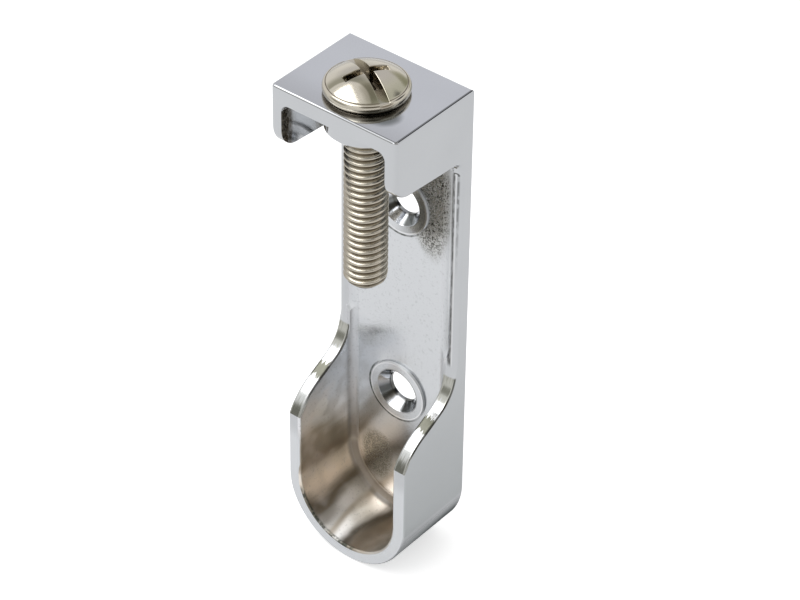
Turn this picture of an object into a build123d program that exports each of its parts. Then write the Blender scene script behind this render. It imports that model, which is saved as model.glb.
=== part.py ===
"""Wardrobe rail end support: a plated die-cast bracket with a machine screw through its flange.

Millimetres. +X is the width, the wall face is the plane y = 0 and everything stands in front of it
towards -Y, and +Z is up. The origin is on the wall face at the axis of the rail, which is also the
centre of the half-round cup.
"""
from build123d import *
import math
import os

# Outline of the bracket
width = 20.5
height = 76.6
flange_depth = 15.6
cup_depth = 12.9

# Walls
plate_thickness = 1.6
rib_depth = 2.35
flange_thickness = 2.35
cheek_wall = 1.75
cup_wall = 2.0

# Cheeks, the two flaps that hang from the flange
cheek_drop = 10.4
cheek_foot_slope = 4.0
cheek_corner_radius = 3.2
arch_radius = 1.0
under_flange_fillet = 1.2

# Channel between the ribs of the wall plate. Its sides are coves that end in a crisp edge on the ribs
channel_width = 18.3
cove_radius = 2.2
channel_foot_height = 22.55
channel_corner_radius = 2.2
cup_fillet = 1.2

# Ogee of the cup's side walls, from the crease on the rib down to the cup's front
crease_height = 20.05
crease_angle = 13.0
hollow_radius = 5.8
slope_angle = 27.0
slope_length = 4.05
shoulder_radius = 9.0

# Softened edges
rib_edge_radius = 1.0
outer_lip_radius = 0.36
inner_lip_radius = 0.35
cheek_edge_radius = 0.6
flange_edge_radius = 0.35

# Holes for the wall screws, each in a raised ring
hole_spacing = 32.0
lower_hole_height = 12.75
hole_radius = 2.3
countersink_radius = 3.4
hole_land = 0.5
ring_radius = 4.6
ring_height = 0.4

# Machine screw and the boss that it goes through
screw_radius = 2.95
screw_length = 30.0
screw_clearance = 0.15
screw_from_wall = 8.9
tip_chamfer = 0.9
boss_radius = 5.5
boss_height = 3.05
boss_chamfer = 0.4

# Head of the screw
head_radius = 5.7
rim_height = 1.5
seat_inset = 0.25
dome_inset = 0.3
rim_chamfer = 0.45
dome_height = 1.75
slot_width = 1.3
slot_depth = 1.95
cross_span = 6.8
cross_arm_width = 1.25
cross_foot_span = 2.6
cross_foot_width = 0.85
cross_depth = 2.7
drive_angle = -25.0

# Worked out from the sizes above
half_width = width / 2
top = height - half_width
flange_underside = top - flange_thickness
cheek_foot = top - cheek_drop
rib_height = rib_depth - plate_thickness
cove_run = math.sqrt(cove_radius**2 - (cove_radius - rib_height) ** 2)
cove_inset = cove_radius - cove_run
hole_heights = (lower_hole_height, lower_hole_height + hole_spacing)
screw_axis = (0, -screw_from_wall, 0)
clear = 2 * width
close = 0.01


def side_view(outline):
    """A solid over the whole width from a face drawn in the (y, z) plane."""
    return extrude(Plane.YZ * outline, amount=half_width, both=True)


def u_shape(radius, crown, start, depth):
    """A solid in front of y = -start: a half disc about the rail's axis with straight sides to crown."""
    disc = Circle(radius)
    sides = Pos(0, crown / 2) * Rectangle(2 * radius, crown)
    return extrude(Plane.XZ.offset(start) * (disc + sides), amount=depth)


def ogee_profile():
    """Side view of the cup: hollow, straight slope and round shoulder, tangent to one another."""
    down_the_crease = Vector(-math.sin(math.radians(crease_angle)), -math.cos(math.radians(crease_angle)))
    crease = Vector(-rib_depth, crease_height)
    root = crease - down_the_crease * (rib_edge_radius / math.sin(math.radians(crease_angle)))
    lead_in = Line(root, crease)
    hollow = JernArc(crease, down_the_crease, hollow_radius, crease_angle + slope_angle - 90)
    slope = Line(hollow @ 1, hollow @ 1 + (hollow % 1) * slope_length)
    shoulder = JernArc(slope @ 1, slope % 1, shoulder_radius, 90 - slope_angle)
    end = shoulder @ 1
    floor = -half_width
    rest = Polyline(end, (end.X, floor), (0, floor), (0, root.Y), root)
    return make_face([lead_in, hollow, slope, shoulder, rest])


def make_cup():
    """The half-round cup before it is hollowed, with its ogee side walls."""
    return u_shape(half_width, clear, 0, cup_depth) & side_view(ogee_profile())


def make_wall_plate():
    """The plate and its ribs as one bar from the rail's axis to the cheeks, with round front edges."""
    section = Pos(0, -rib_depth / 2) * Rectangle(width, rib_depth)
    section = fillet(section.vertices().group_by(Axis.Y)[0], rib_edge_radius)
    return extrude(section, amount=cheek_foot)


def channel():
    """What is taken out between the ribs: a flat floor, coved sides and a round-cornered foot."""
    half = channel_width / 2 + cove_inset
    foot = channel_foot_height - cove_inset
    outline = Pos(0, (foot + cheek_foot) / 2) * Rectangle(2 * half, cheek_foot - foot)
    outline = fillet(outline.vertices().group_by(Axis.Y)[0], channel_corner_radius + cove_inset)
    pocket = extrude(Plane.XZ.offset(plate_thickness) * outline, amount=2 * cove_radius)
    floor_edges = pocket.faces().sort_by(Axis.Y)[-1].edges()
    coves = floor_edges.filter_by(lambda edge: edge.center().Z < cheek_foot - cove_inset)
    return fillet(coves, cove_radius)


def cup_hollow():
    """What is taken out of the cup, open at the front and upwards."""
    crown = channel_foot_height + channel_corner_radius
    hollow = u_shape(half_width - cup_wall, crown, plate_thickness, cup_depth)
    floor_edges = hollow.faces().sort_by(Axis.Y)[-1].edges()
    rounded = floor_edges.filter_by(lambda edge: edge.center().Z < crown - cup_fillet)
    return fillet(rounded, cup_fillet)


def bend(centre, radius, start_angle, end_angle):
    """An arc about a centre, from one angle to another."""
    angles = (start_angle, (start_angle + end_angle) / 2, end_angle)
    return ThreePointArc(*(centre + Vector(1, 0).rotate(Axis.Z, angle) * radius for angle in angles))


def head_profile():
    """Side view of the flange and its cheeks: ribs, arch, sloping foot and front."""
    slope = math.radians(cheek_foot_slope)
    arch_drop = arch_radius * (1 - math.sin(slope)) / math.cos(slope)
    arch_centre = Vector(-rib_depth - arch_radius, cheek_foot - arch_drop)
    arch = bend(arch_centre, arch_radius, 0, 90 - cheek_foot_slope)
    corner_reach = cheek_corner_radius * (1 - math.sin(slope))
    foot_end = cheek_foot + (flange_depth - corner_reach - rib_depth) * math.tan(slope)
    corner_height = foot_end + cheek_corner_radius * math.cos(slope)
    corner_centre = Vector(cheek_corner_radius - flange_depth, corner_height)
    corner = bend(corner_centre, cheek_corner_radius, 270 - cheek_foot_slope, 180)
    foot = Line(arch @ 1, corner @ 0)
    rest = Polyline((-flange_depth, corner_centre.Y), (-flange_depth, top), (0, top), (0, arch_centre.Y),
                    (-rib_depth, arch_centre.Y))
    return make_face([arch, foot, corner, rest])


def cheek_edges(block):
    """The edges of the sides: the arch on the ribs, the foot, and the front up to the flange's top."""
    on_the_sides = block.edges().filter_by(lambda edge: abs(edge.center().X) > half_width - close)
    in_front = on_the_sides.filter_by(lambda edge: edge.center().Y < -rib_depth - close)
    return in_front.filter_by(lambda edge: edge.center().Z < top - close)


def make_head():
    """The flange with a cheek at each side, hollow between the cheeks and open to the front and below."""
    block = side_view(head_profile())
    block = fillet(cheek_edges(block), cheek_edge_radius)
    room_width = width - 2 * cheek_wall
    room = Pos(0, -plate_thickness, flange_underside) * Box(
        room_width, flange_depth, 2 * cheek_drop, align=(Align.CENTER, Align.MAX, Align.MAX)
    )
    ceiling = room.faces().sort_by(Axis.Z)[-1].edges().sort_by(Axis.Y)[1:]
    back_corners = room.faces().sort_by(Axis.Y)[-1].edges().filter_by(Axis.Z)
    return block - fillet(ceiling + back_corners, under_flange_fillet)


def facing_front(start):
    """A plane parallel to the wall at y = -start, whose normal points out of the wall."""
    return Plane.XZ.offset(start)


def add_wall_hole(body, hole_height):
    """A raised ring on the plate with a countersunk hole through it."""
    face = plate_thickness + ring_height
    sink = face - hole_land
    ring = facing_front(hole_land) * Pos(0, hole_height) * Cylinder(
        ring_radius, sink, align=(Align.CENTER, Align.CENTER, Align.MIN)
    )
    cone = facing_front(hole_land) * Pos(0, hole_height) * Cone(
        hole_radius, countersink_radius, sink, align=(Align.CENTER, Align.CENTER, Align.MIN)
    )
    bore = facing_front(0) * Pos(0, hole_height) * Cylinder(hole_radius, 2 * face)
    return body + ring - cone - bore


def add_boss(body):
    """The boss under the flange, with the hole for the screw through both."""
    boss = Pos(*screw_axis) * Pos(0, 0, flange_underside) * Cylinder(
        boss_radius, boss_height, align=(Align.CENTER, Align.CENTER, Align.MAX)
    )
    boss = chamfer(boss.edges().sort_by(Axis.Z)[0], boss_chamfer)
    hole = Pos(*screw_axis) * Pos(0, 0, top) * Cylinder(screw_radius + screw_clearance, 2 * cheek_drop)
    return body + boss - hole


def spread(edge):
    """How far an edge reaches to either side of the middle plane."""
    box = edge.bounding_box()
    return max(box.max.X, -box.min.X)


def lip_edges(body, inside):
    """The edges around the cup's front, on the inner or on the outer side of its wall."""
    middle_of_wall = half_width - cup_wall / 2
    at_the_lip = body.edges().filter_by_position(Axis.Y, -cup_depth - close, -cup_depth + close)
    around = at_the_lip.filter_by(lambda edge: edge.center().Z < crease_height)
    around = around.filter_by(lambda edge: edge.length > cup_wall + close)
    return around.filter_by(lambda edge: (spread(edge) < middle_of_wall) == inside)


def ogee_edges(body, inside):
    """The edges of the swept side walls, from the ribs to the lip, on the inner or on the outer side."""
    side = half_width - cup_wall if inside else half_width
    on_the_side = body.edges().filter_by(lambda edge: abs(abs(edge.center().X) - side) < close)
    swept = on_the_side.filter_by(lambda edge: edge.bounding_box().size.Y > rib_height)
    behind_the_lip = swept.filter_by(lambda edge: edge.bounding_box().max.Y < close - rib_depth)
    return behind_the_lip.filter_by(lambda edge: 0 < edge.center().Z < crease_height)


def soften(body):
    """Round the edges that casting and polishing leave soft. Those of the wall face stay crisp."""
    body = fillet(lip_edges(body, inside=True) + ogee_edges(body, inside=True), inner_lip_radius)
    body = fillet(body.edges().group_by(Axis.Z)[-1], flange_edge_radius)
    return fillet(lip_edges(body, inside=False) + ogee_edges(body, inside=False), outer_lip_radius)


def make_bracket():
    """The casting in one piece."""
    body = make_cup() + make_wall_plate() - channel() - cup_hollow()
    body = soften(body + make_head())
    for hole_height in hole_heights:
        body = add_wall_hole(body, hole_height)
    return add_boss(body)


def screw_body():
    """The screw turned about its own axis: shank, bulging rim and dome, with the head's seat at z = 0."""
    dome_edge = head_radius - dome_inset
    outline = Polyline(
        (0, 0), (0, -screw_length), (screw_radius - tip_chamfer, -screw_length),
        (screw_radius, -screw_length + tip_chamfer), (screw_radius, 0), (head_radius - seat_inset, 0),
        (head_radius, rim_chamfer), (head_radius, rim_height - rim_chamfer), (dome_edge, rim_height),
    )
    dome_radius = (dome_edge**2 + dome_height**2) / (2 * dome_height)
    dome = RadiusArc((dome_edge, rim_height), (0, rim_height + dome_height), -dome_radius)
    axis_line = Line((0, rim_height + dome_height), (0, 0))
    profile = make_face([outline, dome, axis_line])
    return revolve(Plane.XZ * profile, axis=Axis.Z)


def drive_recess():
    """Straight slot across the head and a tapered cross in its middle, one arm of it along the slot."""
    crown = rim_height + dome_height
    slot = Pos(0, 0, crown) * Box(
        clear, slot_width, slot_depth, align=(Align.CENTER, Align.CENTER, Align.MAX)
    )
    mouth = Pos(0, 0, crown) * Rectangle(cross_span, cross_arm_width)
    foot = Pos(0, 0, crown - cross_depth) * Rectangle(cross_foot_span, cross_foot_width)
    arm = loft([mouth, foot])
    cross = arm + Rot(0, 0, 90) * arm
    return Rot(0, 0, drive_angle) * (slot + cross)


def make_screw():
    """The machine screw with its head on the flange."""
    return Pos(*screw_axis) * Pos(0, 0, top) * (screw_body() - drive_recess())


def write(name, solid):
    """One file for each piece, named after it."""
    solid.label = name
    export_step(solid, f"parts/{name}.step")


os.makedirs("parts", exist_ok=True)
write("bracket", make_bracket())
write("screw", make_screw())
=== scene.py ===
"""Wardrobe rail end support: the plated bracket's finish, its screw with a real thread, and the studio."""

import math

import bmesh
import bpy
import numpy as np
from mathutils import Matrix, Vector


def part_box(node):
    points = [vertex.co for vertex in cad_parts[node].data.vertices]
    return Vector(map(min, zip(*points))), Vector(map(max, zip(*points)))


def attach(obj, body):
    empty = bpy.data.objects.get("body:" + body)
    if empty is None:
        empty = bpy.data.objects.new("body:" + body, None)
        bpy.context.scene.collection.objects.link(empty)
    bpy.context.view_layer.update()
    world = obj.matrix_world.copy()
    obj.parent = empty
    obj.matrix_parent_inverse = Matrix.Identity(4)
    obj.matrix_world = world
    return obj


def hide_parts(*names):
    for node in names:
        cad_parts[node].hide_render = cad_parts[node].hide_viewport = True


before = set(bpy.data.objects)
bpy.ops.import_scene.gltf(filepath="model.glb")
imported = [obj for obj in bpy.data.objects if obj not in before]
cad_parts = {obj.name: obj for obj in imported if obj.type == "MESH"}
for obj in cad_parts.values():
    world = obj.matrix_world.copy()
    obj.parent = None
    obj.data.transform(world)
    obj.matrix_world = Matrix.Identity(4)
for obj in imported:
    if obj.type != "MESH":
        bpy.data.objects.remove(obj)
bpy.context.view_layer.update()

bl_info = {
    "name": "Wardrobe rail end support",
    "version": (1, 0, 0),
    "blender": (4, 5, 0),
    "location": "3D View > Sidebar > Rail support",
    "description": "Plated bracket for the end of a wardrobe rail, with its machine screw",
    "category": "Add Mesh",
}

MM = 0.001

BRACKET_LOW, BRACKET_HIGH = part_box("bracket")
SCREW_LOW, SCREW_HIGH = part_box("screw")
FLANGE_TOP = BRACKET_HIGH.z
CUP_BOTTOM = BRACKET_LOW.z
MIDDLE = Vector((0, 0, (FLANGE_TOP + CUP_BOTTOM) / 2))
SCREW_X = (SCREW_LOW.x + SCREW_HIGH.x) / 2
SCREW_Y = (SCREW_LOW.y + SCREW_HIGH.y) / 2
HEAD_RADIUS = (SCREW_HIGH.x - SCREW_LOW.x) / 2

# The screw's head in millimetres, measured from its axis and up from its seat
RIM_HALF_WIDTH = 0.5
RIM_CENTRE = HEAD_RADIUS / MM - RIM_HALF_WIDTH
RIM_MIDDLE = 0.72
DOME_EDGE = 5.4
DOME_FOOT = 1.27
DOME_RISE = (SCREW_HIGH.z - FLANGE_TOP) / MM - DOME_FOOT
CREASE_RADIUS = 5.24
SEAT_INNER = 2.0
THREAD_OVERLAP = 0.2

# The slot and the cross, in millimetres. A draft is the run of a wall for each millimetre of its height
SLOT_FLOOR = 1.3
WALL_RUN = 0.03
WALL_STEEPNESS = 100.0
EDGE_BEVEL = 0.06
ARM_FOOT = 0.55
ARM_FOOT_REACH = 1.3
ARM_FOOT_HALF = 0.42
ARM_END_DRAFT = 0.95
ARM_SIDE_DRAFT = 0.075

# Lines of the head's grid: close together over the recess, and the reach of its straight columns
DISC_CORE = 1.5
CORE_LINES = (0.0, 0.15, 0.3, 0.42, 0.48, 0.53, 0.57, 0.6, 0.68, 0.9, 1.1, 1.3, 1.5)
ARM_END_LINES = (2.95, 3.05, 3.12, 3.18, 3.24, 3.3, 3.4)
NEAR_SLOT_LINES = (-WALL_RUN, -0.01, 0.0, 0.03, EDGE_BEVEL, 0.13)

# Steps of the head's grid in degrees, up to a little past a quarter turn so that its last line is kept. Points
# that lie closer than the join are merged, in millimetres, and edges sharper than the crease's angle stay sharp
DISC_STEP = 2.5
RIM_START, RIM_STEP = 12.0, 13.0
QUARTER_TURN = 90.1
JOIN_DISTANCE = 0.002
CREASE_ANGLE = 48.0

# The thread: phase and share of the depth along one turn's profile, points on a turn, and the tip's chamfer in
# millimetres
THREAD_PROFILE = (
    (0.00, 0.00), (0.08, 0.03), (0.17, 0.22), (0.27, 0.62), (0.36, 0.90), (0.44, 1.00),
    (0.56, 1.00), (0.64, 0.90), (0.73, 0.62), (0.83, 0.22), (0.92, 0.03),
)
PROFILE_POWER = 0.7
THREAD_STEPS = 120
TIP_CHAMFER = 0.9

# Tones of the nickel, with painted shade in the head's recess, crease and seat, painted olive reflections on
# the dome and painted shade down the thread's left side: limits in millimetres from the screw's axis or up from
# the head's seat
SUNK_DEPTHS, RECESS_RADII, DOME_RADII = (0.2, 2.3), (5.3, 5.1), (5.3, 5.0)
CREASE_LINE, CREASE_HEIGHTS, SEAT_HEIGHTS = (0.10, 0.02), (1.30, 1.38), (0.70, 0.34)
BOW_MIDDLE, BOW_INNER, BOW_OUTER = (1.1, -6.3), (3.6, 3.9), (5.6, 4.2)
BOW_SHARE, BOW_REFLECTION = 0.68, (0.15, 0.14, 0.085)
RIGHT_LIMITS, RIGHT_SHARE, RIGHT_REFLECTION = (2.0, 4.6), 0.55, (0.24, 0.24, 0.16)
HEAD_CLOUD_SCALE, HEAD_STREAK_STRETCH, HEAD_ROUGHNESS = 0.35, (1.0, 1.0, 4.0), 0.10
SCRATCH_STRETCH, SCRATCH_HEIGHT = (1.0, 5.0, 1.0), 0.004
CREST_BAND, SHADED_SIDE_TURN, SHADED_SIDE_LIMITS = 0.2, 0.35, (-1.3, -2.4)
THREAD_ROUGHNESS, THREAD_GRAIN = 0.34, 0.02
HEAD_RANGE, THREAD_RANGE = (0.88, 1.08), (0.9, 1.12)

# The studio: the camera's sensor in millimetres, the floor's reach in metres, and the soft lamp's azimuth and
# elevation in degrees with its distance and size in metres
SENSOR_WIDTH = 36.0
FLOOR_REACH = 1.5
WINDOW_TOWARD = (-36.0, 57.0)
WINDOW_DISTANCE = 0.9
WINDOW_SIZE = (0.95, 0.50)

# Studio cards, which glow with their own colour where only the metal sees them: name, azimuth and elevation in
# degrees, distance, width and height in metres, colour
CARD_LINES = 17
STUDIO_CARDS = (
    ("card_over_camera", 50.0, 34.0, 1.0, 1.00, 0.80, (0.16, 0.145, 0.12)),
    ("card_right", 88.0, 18.0, 1.0, 0.70, 0.70, (0.34, 0.30, 0.26)),
    ("card_right_back", 137.0, 34.0, 1.0, 0.60, 0.60, (0.06, 0.06, 0.07)),
    ("card_back", -176.0, 17.0, 1.0, 0.55, 0.40, (0.50, 0.50, 0.40)),
    ("card_left_back", -141.0, 42.0, 1.0, 1.25, 1.00, (0.79, 0.79, 0.83)),
    ("card_overhead", 150.0, 80.0, 1.0, 0.80, 0.70, (0.55, 0.54, 0.50)),
    ("card_left_low", -34.0, 12.0, 1.0, 1.00, 0.44, (0.36, 0.36, 0.33)),
)

# Depth of the cup's lip from the wall, and the painted reflections on the two swept edges at their depths, in
# millimetres
CUP_DEPTH = 12.9
EDGE_REFLECTIONS = (
    (1.8, (0.30, 0.30, 0.26)), (2.4, (0.48, 0.48, 0.44)), (3.8, (0.52, 0.52, 0.48)),
    (4.4, (0.62, 0.63, 0.64)), (6.0, (0.62, 0.63, 0.64)), (6.4, (0.13, 0.13, 0.105)),
    (8.2, (0.12, 0.12, 0.10)), (8.7, (0.62, 0.63, 0.64)), (11.2, (0.60, 0.61, 0.60)),
    (12.5, (0.34, 0.34, 0.31)),
)

# Painted reflections inside the cup: colours at angles about the rail's axis, in degrees from the cup's bottom
CUP_REFLECTION_BANDS = (
    (-150, (0.80, 0.82, 0.85)), (-130, (0.90, 0.91, 0.93)), (-113, (0.46, 0.42, 0.36)),
    (-97, (0.42, 0.36, 0.29)), (-84, (0.95, 0.88, 0.79)), (-66, (0.92, 0.82, 0.71)),
    (-52, (0.24, 0.20, 0.15)), (-34, (0.90, 0.87, 0.82)), (-26, (0.56, 0.50, 0.42)),
    (-16, (0.95, 0.93, 0.90)), (-1, (0.17, 0.15, 0.12)), (12, (0.50, 0.43, 0.35)),
    (30, (0.62, 0.59, 0.54)), (60, (0.58, 0.56, 0.52)), (95, (0.58, 0.58, 0.58)), (150, (0.62, 0.63, 0.65)),
)

# Regions of the casting as soft limits in millimetres: a field is outside at the first number and inside at
# the second. side is the distance from the middle plane, deep from the wall, and reach from the rail's axis
REGIONS = {
    "channel": (("side", 8.75, 8.55), ("z", 54.5, 53.5)),
    "recess": (("side", 8.75, 8.55), ("z", 54.5, 53.5), ("deep", 15.0, 14.0), ("deep", 1.2, 1.4)),
    "channel_floor": (("deep", 2.2, 2.0),),
    "above_the_cup": (("z", 8.0, 16.0),),
    "cup_floor": (("side", 8.7, 8.4), ("reach", 8.9, 8.6), ("reach", 6.7, 7.4), ("z", 2.0, 0.0)),
    "cup_walls": (("side", 6.9, 7.5), ("side", 8.7, 8.5), ("z", -1.0, 0.0), ("deep", 1.58, 1.75)),
    "cup_height": (("z", 24.0, 9.0), ("deep", 1.5, 1.58)),
    "left_wall": (("x", -8.7, -8.6), ("x", -7.7, -7.9)),
    "fillet_round": (("reach", 6.9, 7.4), ("z", 1.0, -1.0)),
    "fillet_upright": (("side", 6.9, 7.3), ("side", 9.2, 9.0), ("z", -1.0, 1.0)),
    "fillet_depth": (("deep", 1.55, 1.66), ("deep", 3.1, 2.3)),
    "lower_end": (("z", 16.0, 3.0),),
    "right_rib": (
        ("x", 0.0, 1.0), ("side", 10.24, 10.2), ("deep", 1.66, 1.8), ("z", 22.0, 23.0), ("z", 54.5, 54.3)),
    "upper_rib": (("z", 36.0, 50.0),),
    "below_arch": (("z", 54.0, 53.8),),
    "arch": (("z", 53.7, 53.9),),
    "ring_wall": (("deep", 1.60, 1.64), ("deep", 1.995, 1.97)),
    "ring_face": (("deep", 1.85, 1.95),),
    "ring_right": (("x", -1.5, 2.5),),
    "off_the_back": (("deep", 0.03, 0.08),),
    "left_cheek": (
        ("x", -8.35, -8.45), ("x", -8.65, -8.55), ("z", 54.5, 55.5), ("z", 64.0, 63.0),
        ("deep", 13.2, 13.8), ("deep", 15.5, 15.1)),
    "lip_low_left": (("deep", 12.3, 12.7), ("z", -1.5, -3.0), ("x", 2.5, 0.5)),
    "lip_face": (("deep", 12.75, 12.85), ("z", 9.0, 6.0), ("reach", 8.5, 8.62)),
    "swept_edges": (
        ("side", 8.26, 8.3), ("side", 10.24, 10.2), ("deep", 1.7, 1.9), ("deep", 12.9, 12.85),
        ("z", 20.6, 20.2), ("z", 10.3, 10.4)),
    "behind_lip": (("deep", 11.9, 10.5),),
    "outer_sides": (("side", 10.15, 10.2), ("z", 36.0, -4.0)),
    "under_the_cup": (("reach", 10.0, 10.15), ("deep", 0.03, 0.08), ("z", -0.8, -5.0)),
    "near_the_wall": (("deep", 12.5, 2.0),),
    "flange_top": (("z", 66.0, 66.2),),
    "towards_front": (("deep", 9.5, 15.8),),
    "front_edge": (("deep", 15.22, 15.32), ("x", -5.0, 3.0)),
    "right_edge": (("x", 9.9, 10.0),),
    "top_edge": (("z", 66.2, 66.3),),
}

# Lines where a field has one value: the field, its value, and how far off it the line has ended and is whole
LINES = {
    # All these lines are painted: highlights and shade along the rib, a shadow at the lip's edge, and dark
    # reflections on the fillets of the swept edges
    "rib_inner_dark": ("side", 9.14, 0.40, 0.16),
    "rib_outer_dark": ("side", 9.80, 0.22, 0.04),
    "rib_inner_light": ("side", 8.5, 0.30, 0.12),
    "rib_outer_light": ("side", 9.50, 0.16, 0.08),
    "lip_edge": ("reach", 8.42, 0.34, 0.14),
    "right_burr": ("x", 10.14, 0.12, 0.08),
    "left_burr": ("x", -8.38, 0.12, 0.08),
}

# Elliptical spots: two fields, each with the spot's middle and radius on it
SPOTS = {
    "wall_gleam": (("y", -8.3, 1.5), ("z", 9.4, 1.6)),
    "blue_shade": (("x", -6.6, 3.6), ("z", 17.0, 6.0)),
    "upper_patch": (("x", 5.0, 4.0), ("z", 47.0, 8.8)),
    "small_patch": (("x", -5.7, 2.2), ("z", 19.4, 2.0)),
    "cup_patch": (("x", -3.5, 3.0), ("z", -1.0, 4.6)),
    "head_gleam": (("x", 4.9, 2.9), ("y", -12.0, 2.6)),
}
SPOT_DRIFT = 1.2
SPOT_LIMITS = (1.15, 0.35)
SMALL_PATCH_STRENGTH = 0.2
CUP_PATCH_AND_SHADE_STRENGTH = 0.42
PATCH_KEEPS_OFF = 4.75

# Marks on the plating, most of them painted highlights, reflections and shade: the share of it that each covers
# where it is whole, and its colour
MARKS = {
    "wall_gleam": (0.8, (1.0, 1.0, 1.0)),
    "warm_floor": (0.75, (0.62, 0.54, 0.45)),
    "blue_shade": (0.14, (0.36, 0.38, 0.43)),
    "cup_patch": (1.4, (0.26, 0.24, 0.18)),
    "patch": (0.5, (0.36, 0.34, 0.28)),
    "pits": (0.85, (0.05, 0.045, 0.03)),
    "rib_light": (0.4, (0.95, 0.95, 0.96)),
    "rib_dark": (0.85, (0.07, 0.07, 0.065)),
    "ring_wall": (1.0, (0.60, 0.61, 0.62)),
    "ring_shade": (0.5, (0.17, 0.17, 0.16)),
    "light_edge": (1.0, (0.95, 0.95, 0.96)),
    "countersink": (1.0, (0.86, 0.88, 0.92)),
    "ring_dark": (1.0, (0.06, 0.065, 0.055)),
    "bore": (0.75, (0.10, 0.10, 0.09)),
    "cheek_streak": (0.9, (0.10, 0.075, 0.045)),
    "lip_line": (0.9, (0.05, 0.055, 0.045)),
    "burr": (0.8, (0.05, 0.05, 0.045)),
    "side_shade": (0.30, (0.30, 0.34, 0.33)),
    "under": (0.95, (0.03, 0.045, 0.045)),
    "junction": (0.62, (0.27, 0.23, 0.185)),
    "flange_front": (0.3, (0.30, 0.30, 0.30)),
    "head_gleam": (0.75, (0.07, 0.08, 0.07)),
    "edge_line": (0.7, (0.05, 0.05, 0.055)),
}

# Noises under the plating. A scale is in turns for each millimetre, and limits are values of the noise
CLOUD_SCALE = 0.12
PLATING_RANGE = (0.95, 1.04)
# Painted light: the channel's floor above the cup and the lip's face are lighter than the plating by these
# factors
CHANNEL_PAINTED_LIGHT, LIP_PAINTED_LIGHT = 1.18, 1.22
PEBBLE_SHARE = 0.62
PEBBLE_LIMITS = (0.52, 0.40)
PEBBLE_HEIGHT = 0.05
GRAIN_LIMITS = (0.42, 0.30)
GRAIN_SHARE, GRAIN_SHADE = 0.22, 0.45
GRAIN_HEIGHT = 0.01
DASH_STRETCH, DASH_SCALE, DASH_LIMITS = (1.0, 1.0, 0.45), 2.2, (0.42, 0.56)

# How broken a dark line is: the share that it loses between the dashes, and its strength on them
RIB_INNER_BREAKS, RIB_OUTER_BREAKS = (0.35, 1.0), (0.5, 0.8)
RING_BREAKS, CHEEK_BREAKS, LIP_BREAKS = (0.3, 0.95), (0.4, 1.0), (0.5, 1.0)

# The swept edges' brushing, and the painted warm reflection on the channel's floor, in millimetres
BRUSH_STRETCH, BRUSH_REACH = (4.0, 0.5, 0.5), 2.6
WARM_REFLECTION_DRIFT, WARM_REFLECTION_HEIGHTS = 10.0, (8.0, -3.0)

# More roughness than the polished faces have: in the recess, the cup, the patches, the fillet, on the swept
# edges and under the cup. The rings' walls and the underside lose this share of their gloss
AREA_ROUGHNESS = (0.08, 0.2, 0.08, 0.32, 0.07, 0.8)
DULL_SHARE = 0.92
UNDER_FADE = 0.35

# Small arch of painted shade at the top of the right rib, in millimetres
ARCH_MIDDLE = (9.49, 53.9)
ARCH_RADIUS = 0.34
ARCH_LINE = (0.16, 0.06)

# Heights of the two wall-screw holes over the rail's axis, and circles about them: radius, the distances off
# it at which the circle has ended and is whole, and its strength. The foot, mouth and outline are lines of
# painted shade, and the light edge is a painted highlight
RING_HEIGHTS = (12.75, 44.75)
RING_CIRCLES = {
    "foot": (4.78, 0.20, 0.06, 1.0),
    "mouth": (3.46, 0.12, 0.04, 0.75),
    "outline": (4.70, 0.12, 0.04, 0.35),
    "light_edge": (4.48, 0.12, 0.05, 0.7),
    "wall": (4.6, 0.06, 0.04, 1.0),
}
FOOT_MIDDLE = (-0.36, -0.42)
LOW_LEFT_LIMITS = (3.0, -4.5)
RING_FACE_RADIUS, CONE_RADIUS, BORE_RADIUS = 4.5, 3.36, 2.42
CONE_SHADE_LIMITS = (3.42, 3.3)
DISC_EDGE = 0.06

# Painted dark reflections as wedges in a countersink: the direction from the hole's axis in degrees, and how
# far off it a wedge has ended and is whole
WEDGES = ((-148.0, 30.0, 12.0), (-62.0, 34.0, 14.0))
WEDGE_STRENGTH = 0.85

# Painted reflection streaks in the cup, with turns in degrees about the rail's axis. Each blotch is a painted
# reflection too, with the limits of the noise, its share and its colour
FULL_TURN = 360.0
STREAK_STRETCH, STREAK_SCALE, STREAK_TURN = (0.9, 0.2, 0.9), 0.6, 15.0
DRIFT_SCALE, DRIFT_TURN = 0.14, 30.0
BLOTCH_SCALE = 0.30
REFLECTION_BLOTCHES = ((0.52, 0.30, 0.25, (0.26, 0.22, 0.17)), (0.50, 0.72, 0.35, (0.95, 0.90, 0.87)))


class CastingFinish(bpy.types.PropertyGroup):
    """Colours and grain of the plated casting."""

    plating: bpy.props.FloatVectorProperty(
        name="Plating", description="Colour of the bright chrome plating",
        subtype="COLOR", size=3, min=0, max=1, default=(0.62, 0.635, 0.655))
    grain: bpy.props.FloatProperty(
        name="Grain", description="Size of the cast grain under the plating",
        unit="LENGTH", default=0.35 * MM)
    roughness: bpy.props.FloatProperty(
        name="Roughness", description="Roughness of the polished faces",
        subtype="FACTOR", min=0, max=1, default=0.09)


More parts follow.
